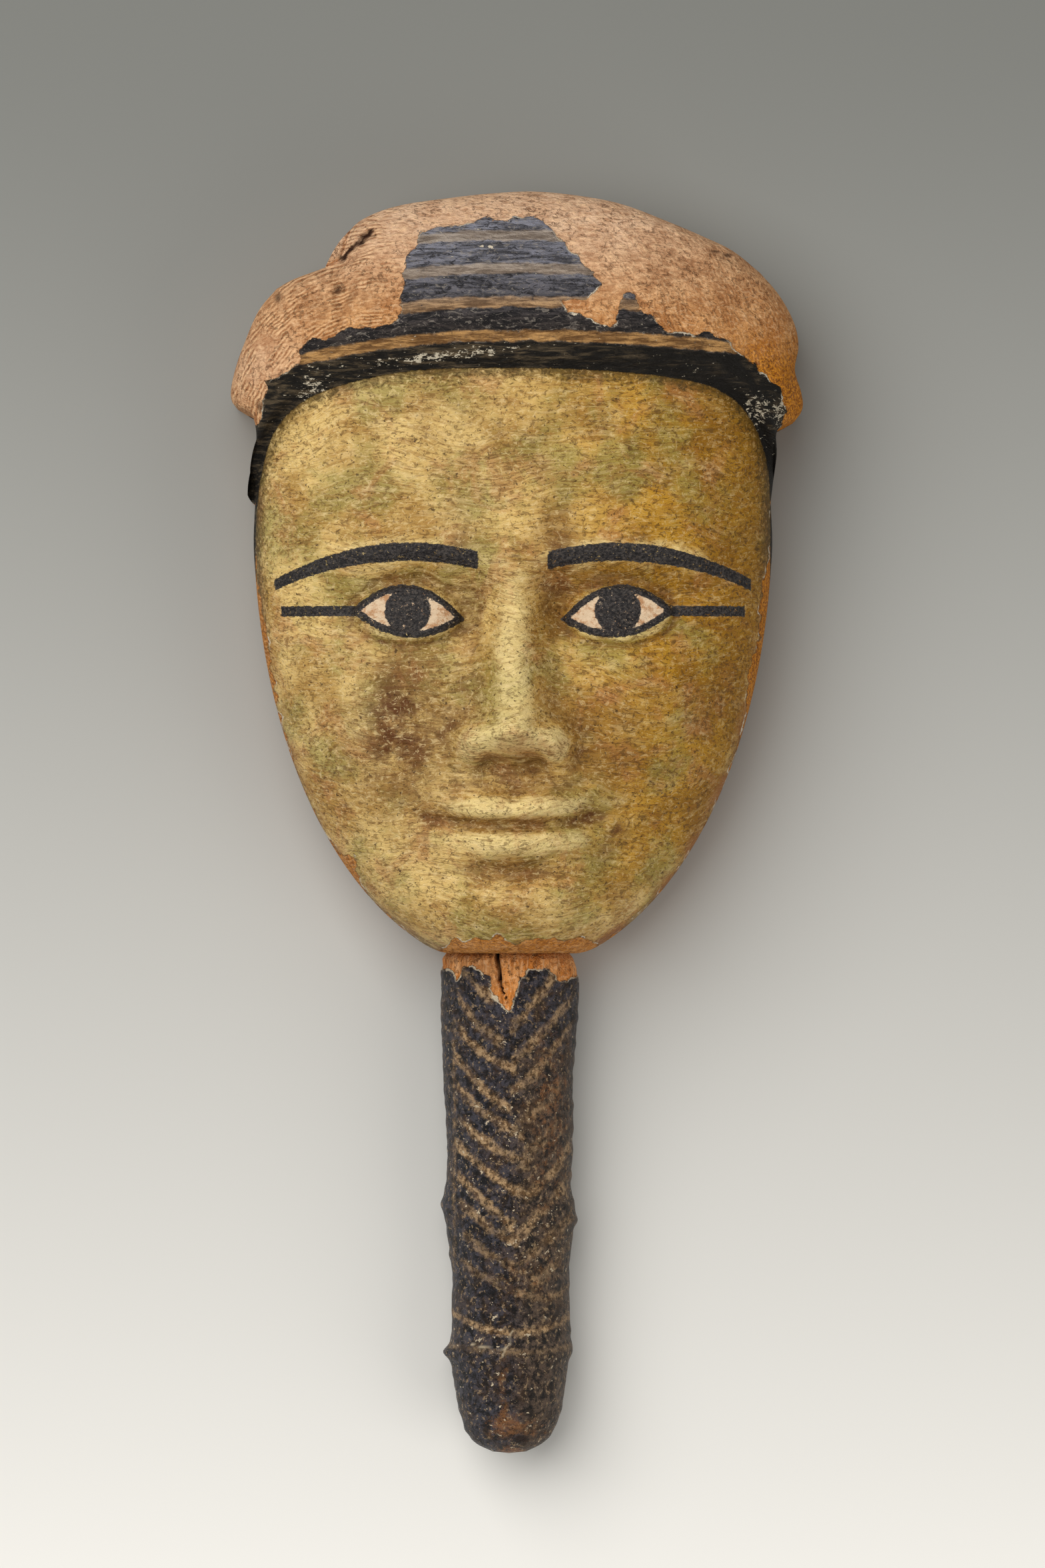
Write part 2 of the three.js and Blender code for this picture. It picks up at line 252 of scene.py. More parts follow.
def stretched(low, high, left, right, rows, crowding):
    """A grid of points between four curves that meet at its corners"""
    u = np.linspace(0, 1, COLUMNS + 1)
    v = np.linspace(0, 1, rows + 1)
    v = v - crowding * np.sin(2 * np.pi * v) / (2 * np.pi)
    low, high = smooth_curve(low, u), smooth_curve(high, u)
    left, right = smooth_curve(left, v)[:, None], smooth_curve(right, v)[:, None]
    u, v = u[None, :, None], v[:, None, None]
    corners = blend(blend(low[0], low[-1], u), blend(high[0], high[-1], u), v)
    return blend(left, right, u) + blend(low[None], high[None], v) - corners


def hair_power(across):
    return np.where(across < 0, HAIR_POWER_LEFT, HAIR_POWER_RIGHT)


turn = np.linspace(0, np.pi, 61)
across = -np.cos(turn)
hair_x = hair_half * np.sign(across) * abs(across) ** (2 / hair_power(across))
hairline = list(zip(hair_x, hair_spring + hair_rise * np.sin(turn)))
wig_edge = [(share * mask_width, up * mask_height) for share, up in WIG_EDGE]
jaw = jaw_arc(-1, np.pi / 4, 0) + jaw_arc(1, 0, np.pi / 4)[1:]
wig_left = [hairline[0]] + wig_edge[LEFT_CORNER:][::-1]
wig_right = [hairline[-1]] + wig_edge[: RIGHT_CORNER + 1]
wig_top = wig_edge[RIGHT_CORNER : LEFT_CORNER + 1][::-1]
plan = np.vstack([
    stretched(jaw, hairline, face_side(-1), face_side(1), FACE_ROWS, -0.25),
    stretched(hairline, wig_top, wig_left, wig_right, WIG_ROWS, 0.2)[1:],
])
rows, columns = plan.shape[:2]
plan_x, plan_y = plan[..., 0], plan[..., 1]
numbers = np.arange(rows * columns).reshape(rows, columns)
ring = np.concatenate([numbers[0, :-1], numbers[:-1, -1], numbers[-1, :0:-1], numbers[:0:-1, 0]])
rim = plan.reshape(-1, 2)[ring]


def half_width(y):
    return face_width / 2 * np.sqrt(1 - np.clip((widest - y) / (widest + seat_cut), 0, 1) ** EGG_POWER)


def past_hairline(x, y):
    """Distance past the hairline, positive on the wig, true close to the line"""
    up = np.maximum(0, y - hair_spring) / hair_rise
    out = abs(x) / hair_half
    power = hair_power(x)
    slope = np.hypot(power * out ** (power - 1) / hair_half, 2 * up / hair_rise)
    return (out**power + up**2 - 1) / np.maximum(1e-3, slope)


close_rim = np.concatenate([blend(rim, np.roll(rim, -1, 0), k / 4) for k in range(4)])
rim_tree = kdtree.KDTree(len(close_rim))
for count, (x, y) in enumerate(close_rim):
    rim_tree.insert((x, y, 0), count)
rim_tree.balance()
rim_distance = np.array([rim_tree.find((x, y, 0))[2] for x, y in plan.reshape(-1, 2)])
rim_distance = rim_distance.reshape(rows, columns)


# The face is laid out on the usual canon, its height in thirds and its width in fifths.
eye_line = 1.74 * third
mouth_line = 0.66 * third
nose_root = 1.95 * third
nose_tip = 1.13 * third
nose_base = 0.945 * third


def nose(x, y):
    run = (nose_root - y) / (nose_root - nose_tip)
    down = np.clip(run, 0, 1)
    height = blend(0.14, 1, down**1.3) * rise(run, -0.3, 0.2) * rise(y, nose_base, nose_tip)
    return height * np.exp(-(abs(x / (fifth * blend(0.23, 0.36, down**2))) ** 2.3))


def eye_almond(x, y):
    """Distance inside the almond of the open eye, positive in the eye"""
    out = (abs(x) - fifth) / (0.5 * fifth)
    middle = eye_line + 0.02 * third * out
    arch = 1 - out**2
    inside = np.minimum(middle + 0.135 * third * arch - y, y - middle + 0.1 * third * arch)
    return inside / np.hypot(1, 0.7 * out)


def carving(x, y):
    """How far the features stand over the face's plain curve, laid out in its fifths and thirds"""
    lid = np.exp(-((eye_almond(x, y) / 1.4) ** 2))
    bow_notch = np.exp(-((x / 4) ** 2))
    x = x / fifth
    y = y / third
    side = abs(x)
    eyes = eye_line / third
    brow = 2.08 - 0.12 * (side - 1) ** 2
    lips = mouth_line / third + 0.035 * (x / 0.75) ** 2
    ball = 1 - ((side - 1) / 0.53) ** 2 - ((y - eyes) / 0.15) ** 2
    fold_line = eyes + 0.2 - 0.1 * ((side - 1) / 0.5) ** 2
    fold = np.exp(-(((y - fold_line) / 0.018) ** 2))
    lip_top = lips + 0.15 - 0.13 * (side / 0.75) ** 2 - 0.03 * bow_notch
    lip_foot = lips - 0.19 + 0.16 * (side / 0.62) ** 2
    on_both_sides = [
        (2.6, 1.05, brow, 1.1, 0.1),
        (-8.5, 0.95, eyes + 0.05, 0.72, 0.17),
        (-6, 0.45, eyes + 0.03, 0.2, 0.17),
        (6.5, 1.3, 1.25, 0.65, 0.34),
        (9, 0.41, 1.07, 0.15, 0.11),
        (-3, 0.2, 0.985, 0.085, 0.032),
        (5.8, 0.2, lips + 0.085, 0.38, 0.065),
        (-2.4, 0.76, mouth_line / third + 0.03, 0.15, 0.08),
    ]
    in_the_middle = [
        (5, 0, 0.7, 0.85, 0.3),
        (-1.0, 0, 0.86, 0.09, 0.08),
        (6.6, 0, lips - 0.1, 0.45, 0.085),
        (-4.2, 0, lips, 0.64, 0.032),
        (-3.4, 0, 0.42, 0.45, 0.07),
        (6.2, 0, 0.24, 0.48, 0.16),
    ]
    eye_forms = 6.3 * np.sqrt(np.maximum(0, ball)) + lid * (abs(side - 1) < 0.62)
    eye_forms = eye_forms - 0.8 * fold * (1 - rise(abs(side - 1), 0.35, 0.6))
    lip_top_edge = 0.6 * np.exp(-(((y - lip_top) * third / 1.1) ** 2)) * (1 - rise(side, 0.4, 0.7))
    lip_foot_edge = 0.5 * np.exp(-(((y - lip_foot) * third / 1.2) ** 2)) * (1 - rise(side, 0.3, 0.6))
    forms = hills(side, y, on_both_sides) + hills(x, y, in_the_middle)
    return carve * (forms + eye_forms + lip_top_edge + lip_foot_edge)


def plain_face(x, y):
    """Height of the face without its features, and how much of them shows there"""
    up = y / face_height
    level = blend(jaw_level, forehead_level, rise(up, 0, 0.8))
    chin = blend(0.45, 1, np.sqrt(np.maximum(0, 1 - np.maximum(0, 1 - y / (0.4 * third)) ** 2)))
    square = rise(up, 0.2, 0.9)
    out = np.minimum(1, abs(x) / half_width(y))
    section = (1 - out ** blend(2.4, 3.4, square)) ** blend(0.6, 0.5, square)
    return side_wall + (level - side_wall) * chin * section, np.minimum(1, 1.6 * section)


tip_level = plain_face(0.0, nose_tip)[0] + carving(0.0, nose_tip)
nose_height = mask_depth - tip_level


def face_level(x, y):
    plain, share = plain_face(x, y)
    return plain + share * (carving(x, y) + nose_height * nose(x, y))


def dome(x, y):
    side = abs(x / (0.545 * mask_width)) ** 3
    up = (np.maximum(0, y - 0.536 * mask_height) / (0.493 * mask_height)) ** 3
    return np.maximum(0.02, 1 - side - up) ** 0.75


dome_rise = (forehead_level + WIG_STEP - side_wall) / dome(0, face_height)


def wig_level(x, y):
    split_corner = rise(-x / mask_width, 0.25, 0.31) * rise(y / mask_height, 0.78, 0.88)
    return side_wall + dome_rise * dome(x, y) - SPLIT_CORNER_DEPTH * split_corner


hair_distance = past_hairline(plan_x, plan_y)
hem = rise(hair_distance, 0, HEM_WIDTH)
inset = np.minimum(1, rim_distance / WORN_EDGE)
worn = WORN_EDGE * (1 - np.sqrt(1 - (1 - inset) ** 2))
face_part = face_level(plan_x, np.minimum(plan_y, face_height + HEM_WIDTH))
front_z = blend(face_part, wig_level(plan_x, plan_y) - worn, hem)


# Where the paint has gone from the wig, the edge of what is left, from the left temple to the right one.
# These are points of the photograph, in its own pixels, turned to millimetres from the chin.
FACE_MIDDLE_PIXEL = 768
CHIN_PIXEL = 1432
PAINT_EDGE = [
    (388, 640), (399, 577), (431, 562), (446, 547), (450, 533), (461, 513), (475, 509), (487, 518),
    (502, 506), (522, 496), (555, 498), (584, 493), (597, 486), (602, 454), (605, 430), (607, 401),
    (613, 386), (622, 371), (628, 351), (649, 345), (672, 344), (707, 336), (725, 329), (748, 332),
    (763, 337), (769, 326), (789, 326), (813, 333), (830, 351), (848, 374), (872, 398), (889, 418),
    (903, 431), (892, 442), (877, 457), (842, 456), (848, 477), (869, 474), (883, 486), (907, 495),
    (914, 501), (924, 483), (931, 447), (951, 447), (954, 471), (974, 477), (986, 492), (1001, 503),
    (1036, 508), (1065, 503), (1086, 513), (1106, 533), (1130, 550), (1141, 562), (1165, 580),
    (1174, 597), (1177, 618), (1171, 641),
]
BEYOND = [(1300, 641), (1300, 100), (200, 100), (200, 640)]
FAR_INSIDE = 20


def to_span(x, y, start, end):
    """Distance to the straight line between two points"""
    (ax, ay), (bx, by) = start, end
    along = ((x - ax) * (bx - ax) + (y - ay) * (by - ay)) / ((bx - ax) ** 2 + (by - ay) ** 2)
    along = np.clip(along, 0, 1)
    return np.hypot(x - blend(ax, bx, along), y - blend(ay, by, along))


def near_line(x, y, line):
    """Distance to a broken line of points"""
    return np.minimum.reduce([to_span(x, y, start, end) for start, end in zip(line, line[1:])])


def signed_distance(x, y, corners):
    """Distance to a closed outline, positive inside it"""
    best = near_line(x, y, [*corners, corners[0]])
    inside = np.zeros(x.shape, bool)
    for (ax, ay), (bx, by) in zip(corners, np.roll(corners, -1, 0)):
        crosses = (ay > y) != (by > y)
        inside ^= crosses & (x < ax + (y - ay) * (bx - ax) / np.where(by == ay, 1e-9, by - ay))
    return np.where(inside, best, -best)


def ripple(x, y, wavelength, seed):
    """Smooth random waves of about this wavelength, around nought and about one high"""
    waves = np.random.default_rng(seed)
    total = 0
    for _ in range(18):
        angle, phase = waves.uniform(0, 2 * np.pi, 2)
        length = wavelength * waves.uniform(0.7, 1.7)
        total = total + np.cos(2 * np.pi / length * (x * np.cos(angle) + y * np.sin(angle)) + phase)
    return total / 3


bare_outline = np.array(PAINT_EDGE + BEYOND, float)
bare_outline = (bare_outline - (FACE_MIDDLE_PIXEL, CHIN_PIXEL)) * (MM_PER_PIXEL, -MM_PER_PIXEL)
bare_wig = signed_distance(plan_x, plan_y, bare_outline)
bare_wig = np.where(hair_distance > -3, bare_wig, -FAR_INSIDE)

# Bare wood under the chin, and in worn strips on the left of the jaw and on both cheeks' edges.
CHIN_STRIP_HALF = 34
CHIN_STRIP_MIDDLE = 2
WORN_STRIPS = [
    [(4.2, -57, 35, 7, 8)],
    [(2, -90, 115, 15, 26)],
    [(3, 92, 130, 12, 14), (3.4, 88, 103, 8, 11)],
]
off_chin = abs(plan_x - CHIN_STRIP_MIDDLE)
chin_strip = 5.2 * rise(-off_chin, -CHIN_STRIP_HALF, -20) + 1.1 * ripple(plan_x, plan_y * 0, 9, 4)
edge_strips = np.maximum.reduce([hills(plan_x, plan_y, strip) for strip in WORN_STRIPS])
bare_face = np.where((off_chin < CHIN_STRIP_HALF) & (plan_y < 20), chin_strip, edge_strips) - rim_distance
bare = np.maximum(bare_wig, np.where(hair_distance < 0, bare_face, -FAR_INSIDE))
frayed = bare + 0.35 * ripple(plan_x, plan_y, 5, 3)

# The skin of paint stands a little over the wood, and the wood keeps its grain and the marks of the adze.
PAINT_THICKNESS = 0.6
painted = 1 - rise(frayed, -0.4, 0.4)
wood_relief = 0.3 * ripple(plan_x, plan_y, 24, 5) + 0.12 * ripple(plan_x * 0.35, plan_y, 3.4, 6)
smooth_relief = 0.26 * ripple(plan_x, plan_y, 24, 8) + 0.1 * ripple(plan_x, plan_y, 8, 9)
smooth_relief = smooth_relief + 0.05 * ripple(plan_x * 0.5, plan_y, 3.6, 10)
relief = blend(wood_relief, smooth_relief + PAINT_THICKNESS, painted)

# An open crack at the split corner, a knot hole on the right and dents, in the photograph's pixels. A hole
# is its middle and its half sizes.
CRACK = [(556, 350), (545, 360), (536, 367), (524, 375), (514, 388)]
HOLES = [
    (1091, 383, 9, 5), (1073, 378, 12, 3), (506, 439, 10, 9), (415, 447, 7, 12), (389, 612, 8, 9),
    (545, 358, 12, 8),
]


def from_photo(x, y):
    """Millimetres from the face's middle and the chin"""
    return (x - FACE_MIDDLE_PIXEL) * MM_PER_PIXEL, (CHIN_PIXEL - y) * MM_PER_PIXEL


def near_spots(x, y, spots):
    """One in the middle of each oval spot, nought at its edge and less outside"""
    best = np.full(x.shape, -9.0)
    for pixel_x, pixel_y, half_x, half_y in spots:
        mid_x, mid_y = from_photo(pixel_x, pixel_y)
        out = np.hypot((x - mid_x) / half_x, (y - mid_y) / half_y) / MM_PER_PIXEL
        best = np.maximum(best, 1 - out)
    return best


crack_half = 1.1 + 0.7 * ripple(plan_x, plan_y, 3.5, 13)
in_crack = crack_half - near_line(plan_x, plan_y, [from_photo(*place) for place in CRACK])
in_hole = near_spots(plan_x, plan_y, HOLES)
relief = relief - 2.2 * rise(in_crack, -0.6, 0.8) - 1.4 * rise(in_hole, -0.3, 0.7)
front_z = front_z + relief * rise(rim_distance, 0, 3)

# Every point of the mask: its front, its side wall down to the worn corner, and the edge of the flat back.
front = np.dstack([plan, front_z]).reshape(-1, 3)
levels = np.linspace(0, 1, WALL_ROWS + 1)[1:, None]
rim_z = front[ring, 2]
wall = [np.column_stack([rim, blend(rim_z, BACK_BEVEL, level)]) for level in levels.ravel()]
inward = np.array([0, mask_height / 2]) - rim
inward *= BACK_BEVEL / np.linalg.norm(inward, axis=1)[:, None]
back_edge = np.column_stack([rim + inward, np.zeros(len(rim))])
back_middle = np.array([[0, mask_height / 2, 0]])
points = np.vstack([front, *wall, back_edge, back_middle])

cells = np.stack([numbers[:-1, :-1], numbers[:-1, 1:], numbers[1:, 1:], numbers[1:, :-1]], -1)
faces = cells.reshape(-1, 4).tolist()
upper = ring
for row in range(WALL_ROWS + 1):
    lower = len(front) + row * len(ring) + np.arange(len(ring))
    quads = np.stack([lower, np.roll(lower, -1), np.roll(upper, -1), upper], -1)
    faces += quads.tolist()
    upper = lower
middle_number = len(points) - 1
faces += np.stack([np.full(len(ring), middle_number), np.roll(upper, -1), upper], -1).tolist()

mask_shift = np.array([mask_low[0] - rim[:, 0].min(), mask_low[1], 0])
mask = mesh_object("carved_mask", ((points + mask_shift) / 1000).tolist(), faces)
mask.data.shade_smooth()


def give(mesh, name, values):
    """Keep one number a point, for the material to read"""
    layer = mesh.attributes.new(name, "FLOAT", "POINT")
    layer.data.foreach_set("value", np.asarray(values, np.float32).ravel())


def mark_mask(name, field):
    """Numbers for the mask: the front's, the rim's own down the walls, nought in the back's middle"""
    give(mask.data, name, np.concatenate([field.ravel(), *[field.ravel()[ring]] * (WALL_ROWS + 1), [0.0]]))


# The paint ends in a ragged edge a little way down the side walls, and the back is bare.
WALL_BARE = 22
rim_bare = frayed.ravel()[ring]
walls_bare = [rim_bare + WALL_BARE * rise(level, 0.1, 0.6) for level in levels.ravel()]
back_bare = np.full(len(ring) + 1, float(FAR_INSIDE))
give(mask.data, "bare", np.concatenate([frayed.ravel(), *walls_bare, back_bare]))

# The black band is wider at three places, and the wig's stripes bow down towards the temples.
BAND_SWELLS = [(1.6, -95, 176, 8, 14), (1.7, -60, 209, 26, 9), (2.2, 58, 211, 28, 9)]
mark_mask("past_hair", hair_distance + hills(plan_x, plan_y, BAND_SWELLS))
stripe_bow = np.where(plan_x < 0, 0.0014, 0.0006)
mark_mask("stripe", plan_y - face_height + stripe_bow * plan_x**2)

# Painted eyes and brows: even strokes of black, a pale eye and a round iris.
side_x = abs(plan_x)
brow_middle = 2.06 * third - 0.1 * third * ((side_x - fifth) / fifth) ** 2
brow_half = 3.3 - 1.1 * rise(side_x, 1.2 * fifth, 2.3 * fifth)
brow_ends = np.minimum(side_x - 0.33 * fifth, 2.28 * fifth - side_x)
brow = np.minimum(brow_half - abs(plan_y - brow_middle), brow_ends)
almond = eye_almond(plan_x, plan_y)
eye_outline = np.where(abs(side_x - fifth) < 0.56 * fifth, 1.35 - abs(almond), -5)
over_eye_line = plan_y - eye_line - 0.02 * third
kohl_ends = np.minimum(side_x - 1.48 * fifth, 2.22 * fifth - side_x)
kohl = np.minimum(1.9 - abs(over_eye_line), kohl_ends)
iris = np.minimum(0.118 * third - np.hypot(side_x - fifth, over_eye_line), almond + 1)
on_face = rise(-hair_distance, 0, 1)
mark_mask("ink", np.maximum.reduce([brow, eye_outline, kohl, iris]) * on_face - (1 - on_face))
mark_mask("eye_white", almond)


def softened(field, rounds):
    """The field after each point has been averaged with its neighbours this many times"""
    for _ in range(rounds):
        wide = np.pad(field, 1, mode="edge")
        field = (4 * field + wide[:-2, 1:-1] + wide[2:, 1:-1] + wide[1:-1, :-2] + wide[1:-1, 2:]) / 8
    return field


# Where age shows, and where light and shade are painted: dark patches, with painted shade in the hollows, the
# right side browned and darkened by painted shade, a painted highlight on the ridges, the wig's top painted
# lighter where light falls on the crown, white crumbs on the band, orange wood on the right, worn edges, pits
# with the crack and holes painted dark as painted shade, growth rings, dirt and chips.
DARK_PATCHES = [
    (1.2, -41, 82, 16, 28), (0.8, 16, 148, 7, 16), (0.7, -20, 152, 6, 12), (1, 38, 45, 4, 4),
    (0.6, 34, 38, 3, 3), (0.25, -24, 196, 24, 12), (0.4, 30, 60, 14, 22),
]
LIGHTER_LOBE = (-96, 215, 24, 20)
BAND_CRUMBS = (-24, 220.6, 30, 2.0)
CORNER_CRUMBS = [(1, -73, 206, 6, 7), (1, 89, 199, 5, 7), (1, 98, 198, 3, 6)]
DIRT = [(0.7, 64, 246, 28, 20), (1, -64, 240, 18, 12)]
CHIPS = [
    (735, 375, 6, 4), (722, 374, 5, 3), (851, 466, 7, 11), (860, 475, 6, 6), (893, 487, 8, 4),
    (905, 492, 4, 5),
]
# How far each point lies below the average of those round it: painted shade in the hollows, a painted
# highlight on the ridges.
hollow = softened(front_z, 60) - front_z
patches_and_shade = hills(plan_x, plan_y, DARK_PATCHES) + 0.7 * rise(hollow, 0.1, 1.1)
mark_mask("patches_and_shade", np.clip(patches_and_shade, 0, 1))
# Painted shade: the right side of the face is browned and darkened as it lies away from the light, less so on
# the ridges.
browned_and_shaded = np.clip(rise(plan_x, -25, 60) - rise(-hollow, 0.1, 1.2), 0, 1)
mark_mask("browned_and_shaded", browned_and_shaded + 0.4 * rise(plan_x, 60, 98))
# A painted highlight on the raised forms above the chin: nose, lips and cheeks.
mark_mask("ridge_highlight", rise(-hollow, 0.05, 1.3) * rise(plan_y, 24, 46) * (hair_distance < 0))
# Painted light: the wig's top is lighter where light falls on the crown, less so on the right, and the left
# lobe is lighter too.
painted_top_light = rise(plan_y, 0.8 * mask_height, 0.97 * mask_height) * (1 - 0.5 * rise(plan_x, 30, 100))
mark_mask("painted_top_light", np.clip(painted_top_light + 0.7 * hill(plan_x, plan_y, *LIGHTER_LOBE), 0, 1))
fleck = hill(plan_x, plan_y - 0.1 * plan_x, *BAND_CRUMBS) + hills(plan_x, plan_y, CORNER_CRUMBS)
mark_mask("fleck", np.clip(fleck, 0, 1))
reddened = rise(plan_x, 66, 92) * rise(-plan_y, -234, -212) + 0.6 * (bare_face > -3) * (hair_distance < 0)
mark_mask("reddened", np.clip(reddened, 0, 1))
edge_wear = (1 - rise(rim_distance, 0, 5)) * (hair_distance < -1)
mark_mask("edge_wear", edge_wear * (0.5 + 0.5 * ripple(plan_x, plan_y, 14, 12)).clip(0, 1))
# The crack and holes are painted dark, as painted shade in them.
mark_mask("pitted", np.maximum(rise(in_crack, -0.2, 0.8), 0.8 * rise(in_hole, -0.1, 0.8)))
mark_mask("ringed", rise(-plan_x, 20, 60) + 0.5 * rise(plan_x, 10, 40))
mark_mask("dirty", hills(plan_x, plan_y, DIRT))
mark_mask("chip", np.maximum(-1, near_spots(plan_x, plan_y, CHIPS)))


# What the mask is finished in: bare wood, a ground of white gesso, blue-black and tan paint on the wig, and
# ochre on the face, gone olive and brown with age.
WOOD_ROUGHNESS = 0.82


def times(a, b):
    return calc("MULTIPLY", a, b)


def between(value, low, high):
    """Nought at low and one at high, smooth between"""
    inputs = {"Value": value, "From Min": low, "From Max": high}
    smooth = node(value.id_data, "ShaderNodeMapRange", inputs, interpolation_type="SMOOTHSTEP")
    return smooth.outputs["Result"]


def add_some(part, amount, whole):
    """The whole with an amount of the part added"""
    return calc("MULTIPLY_ADD", part, amount, whole)


def read(tree, name):
    return node(tree, "ShaderNodeAttribute", attribute_name=name).outputs["Fac"]


def mapped(place, **settings):
    """Coordinates moved, turned or scaled"""
    return node(place.id_data, "ShaderNodeMapping", {"Vector": place, **settings}).outputs["Vector"]


def millimetres(tree, stretch=(1, 1, 1)):
    """Object coordinates in millimetres, stretched along each axis"""
    place = node(tree, "ShaderNodeTexCoord").outputs["Object"]
    return mapped(place, Scale=[1000 / share for share in stretch])


def cloudy(place, size, detail=4.0, roughness=0.55, distortion=0.0):
    """Noise whose clouds are about this many millimetres wide"""
    inputs = {"Vector": place, "Scale": 1 / size, "Detail": detail, "Roughness": roughness}
    inputs["Distortion"] = distortion
    return node(place.id_data, "ShaderNodeTexNoise", inputs).outputs["Fac"]


def streaky(tree, stretch, detail, roughness, distortion=0.0):
    """Noise whose streaks are about this many millimetres wide along each axis"""
    return cloudy(millimetres(tree, stretch), 1.0, detail, roughness, distortion)


def new_finish(name):
    finish = bpy.data.materials.new(name)
    finish.use_nodes = True
    surface = finish.node_tree.nodes["Principled BSDF"]
    surface.inputs["Specular IOR Level"].default_value = 0.22
    return finish, finish.node_tree, surface


def shake(place, size, detail, roughness):
    """Noise around nought, to fray an edge"""
    return calc("SUBTRACT", cloudy(place, size, detail, roughness), 0.5)


def share_of(value, low, high, share):
    """Between, times a share"""
    return times(between(value, low, high), share)


def laid(colour, layers):
    """Tones laid on a colour one after the other, each as a share"""
    for share, tone in layers:
        colour = over(share, colour, srgb(*tone))
    return colour


def two_tone(value, low, high, first, second):
    """From the first tone at low to the second at high"""
    return over(between(value, low, high), srgb(*first), srgb(*second))


def paint_edge(tree, fray_noise, fray, gesso_from, gesso_to, gesso_share):
    """Where the wood is bare past the paint's frayed edge, and where gesso shows along it"""
    ragged = add_some(fray_noise, fray, read(tree, "bare"))
    is_gesso = times(between(ragged, gesso_from, gesso_to), gesso_share)
    return between(ragged, -0.12, 0.12), is_gesso


def join_up(tree, shader, colour, is_bare, paint_height, wood_height, relief, strength, paint_roughness):
    """Colour, relief and roughness to the shader: the paint's, or the wood's where it is bare"""
    wire(shader.inputs["Base Color"], colour)
    height = node(tree, "ShaderNodeMix", {0: is_bare, 2: paint_height, 3: wood_height}).outputs[0]
    bump = node(tree, "ShaderNodeBump", {"Height": height, "Distance": relief, "Strength": strength})
    wire(shader.inputs["Normal"], bump.outputs["Normal"])
    roughness = node(tree, "ShaderNodeMix", {0: is_bare, 2: paint_roughness, 3: WOOD_ROUGHNESS})
    wire(shader.inputs["Roughness"], roughness.outputs[0])


def bare_wood(tree, place, light, deep, grain):
    """Colour and height of bare wood, from a light to a deep tone, its grain stretched along the axes"""
    fibre = streaky(tree, grain, 3, 0.65, 0.8)
    patches = cloudy(place, 10, 8, 0.75)
    crumbs = cloudy(place, 2.0, 3, 0.65, 0.5)
    worm = cloudy(place, 14, 3)
    pits = times(between(crumbs, 0.43, 0.36), between(worm, 0.36, 0.56))
    colour = laid(over(between(patches, 0.38, 0.62), light, deep), [
        (share_of(fibre, 0.53, 0.6, 0.42), (140, 84, 44)),
        (share_of(fibre, 0.45, 0.38, 0.35), (252, 208, 160)),
        (share_of(crumbs, 0.56, 0.62, 0.32), (250, 208, 162)),
        (times(pits, 0.45), (104, 58, 28)),
    ])
    height = calc("SUBTRACT", times(fibre, -1.6), times(pits, 1.2))
    return colour, add_some(crumbs, 1.2, height)


painted_wood, tree, shader = new_finish("painted mask wood")
place = millimetres(tree)
fine = cloudy(place, 1.0, 5, 0.75)
# The bare wood is lighter where light is painted on the wig's top.
light_wood = over(read(tree, "painted_top_light"), srgb(214, 156, 98), srgb(228, 190, 156))
deep_wood = over(read(tree, "painted_top_light"), srgb(182, 118, 60), srgb(204, 162, 128))
wood_colour, wood_height = bare_wood(tree, place, light_wood, deep_wood, (4, 1.3, 2))
ring_place = mapped(place, Location=(48, -140, 0))
ring_inputs = {"Vector": ring_place, "Scale": 0.21, "Distortion": 9.0, "Detail": 3.0, "Detail Scale": 0.5}
rings = node(tree, "ShaderNodeTexWave", ring_inputs, wave_type="RINGS", rings_direction="Z").outputs["Fac"]
ring_share = times(read(tree, "ringed"), between(cloudy(place, 7, 4), 0.36, 0.62))
rings = times(calc("SUBTRACT", rings, 0.5), ring_share)
wood_height = add_some(rings, -0.35, wood_height)
dirty = times(read(tree, "dirty"), between(cloudy(place, 5, 6, 0.72), 0.36, 0.62))
wood_colour = laid(wood_colour, [
    (share_of(rings, 0.05, 0.45, 0.65), (150, 92, 48)),
    (share_of(rings, -0.05, -0.45, 0.45), (252, 208, 156)),
    (times(dirty, 0.55), (124, 84, 52)),
])
orange = two_tone(fine, 0.4, 0.6, (126, 64, 0), (218, 140, 18))
wood_colour = over(times(read(tree, "reddened"), 0.85), wood_colour, orange)
# Painted shade in the crack and holes.
wood_colour = over(read(tree, "pitted"), wood_colour, srgb(52, 28, 14))

edge_noise = shake(place, 2.2, 6, 0.75)
gesso_here = between(cloudy(place, 9, 4), 0.5, 0.6)
is_bare, is_gesso = paint_edge(tree, edge_noise, 3.2, -0.6, -0.3, gesso_here)
chipped = add_some(edge_noise, 2.4, read(tree, "chip"))
is_gesso = calc("MAXIMUM", is_gesso, between(chipped, 0.15, 0.25))

# The wig's stripes, tan on blue-black, above a black band at the hairline that is rubbed to the gesso.
BAND_TOP = 9.3
STRIPE_PITCH = 12.5
TAN_SHARE = 0.4
stripe = add_some(shake(place, 7, 5, 0.65), 3.4, read(tree, "stripe"))
turns = calc("DIVIDE", calc("SUBTRACT", stripe, BAND_TOP), STRIPE_PITCH)
phase = calc("FRACT", turns)
tan = times(between(phase, 0.0, 0.08), between(phase, TAN_SHARE, TAN_SHARE - 0.1))
tan = times(tan, between(stripe, BAND_TOP - 0.3, BAND_TOP + 0.3))
tan = times(tan, between(cloudy(place, 2.4, 6, 0.75), 0.26, 0.44))
streaks = streaky(tree, (12, 1.7, 6), 7, 0.75, 0.4)
low_down = between(read(tree, "stripe"), 50, 14)
upper_blue = two_tone(streaks, 0.4, 0.6, (72, 71, 76), (142, 142, 154))
lower_blue = two_tone(streaks, 0.4, 0.64, (24, 21, 22), (66, 58, 54))
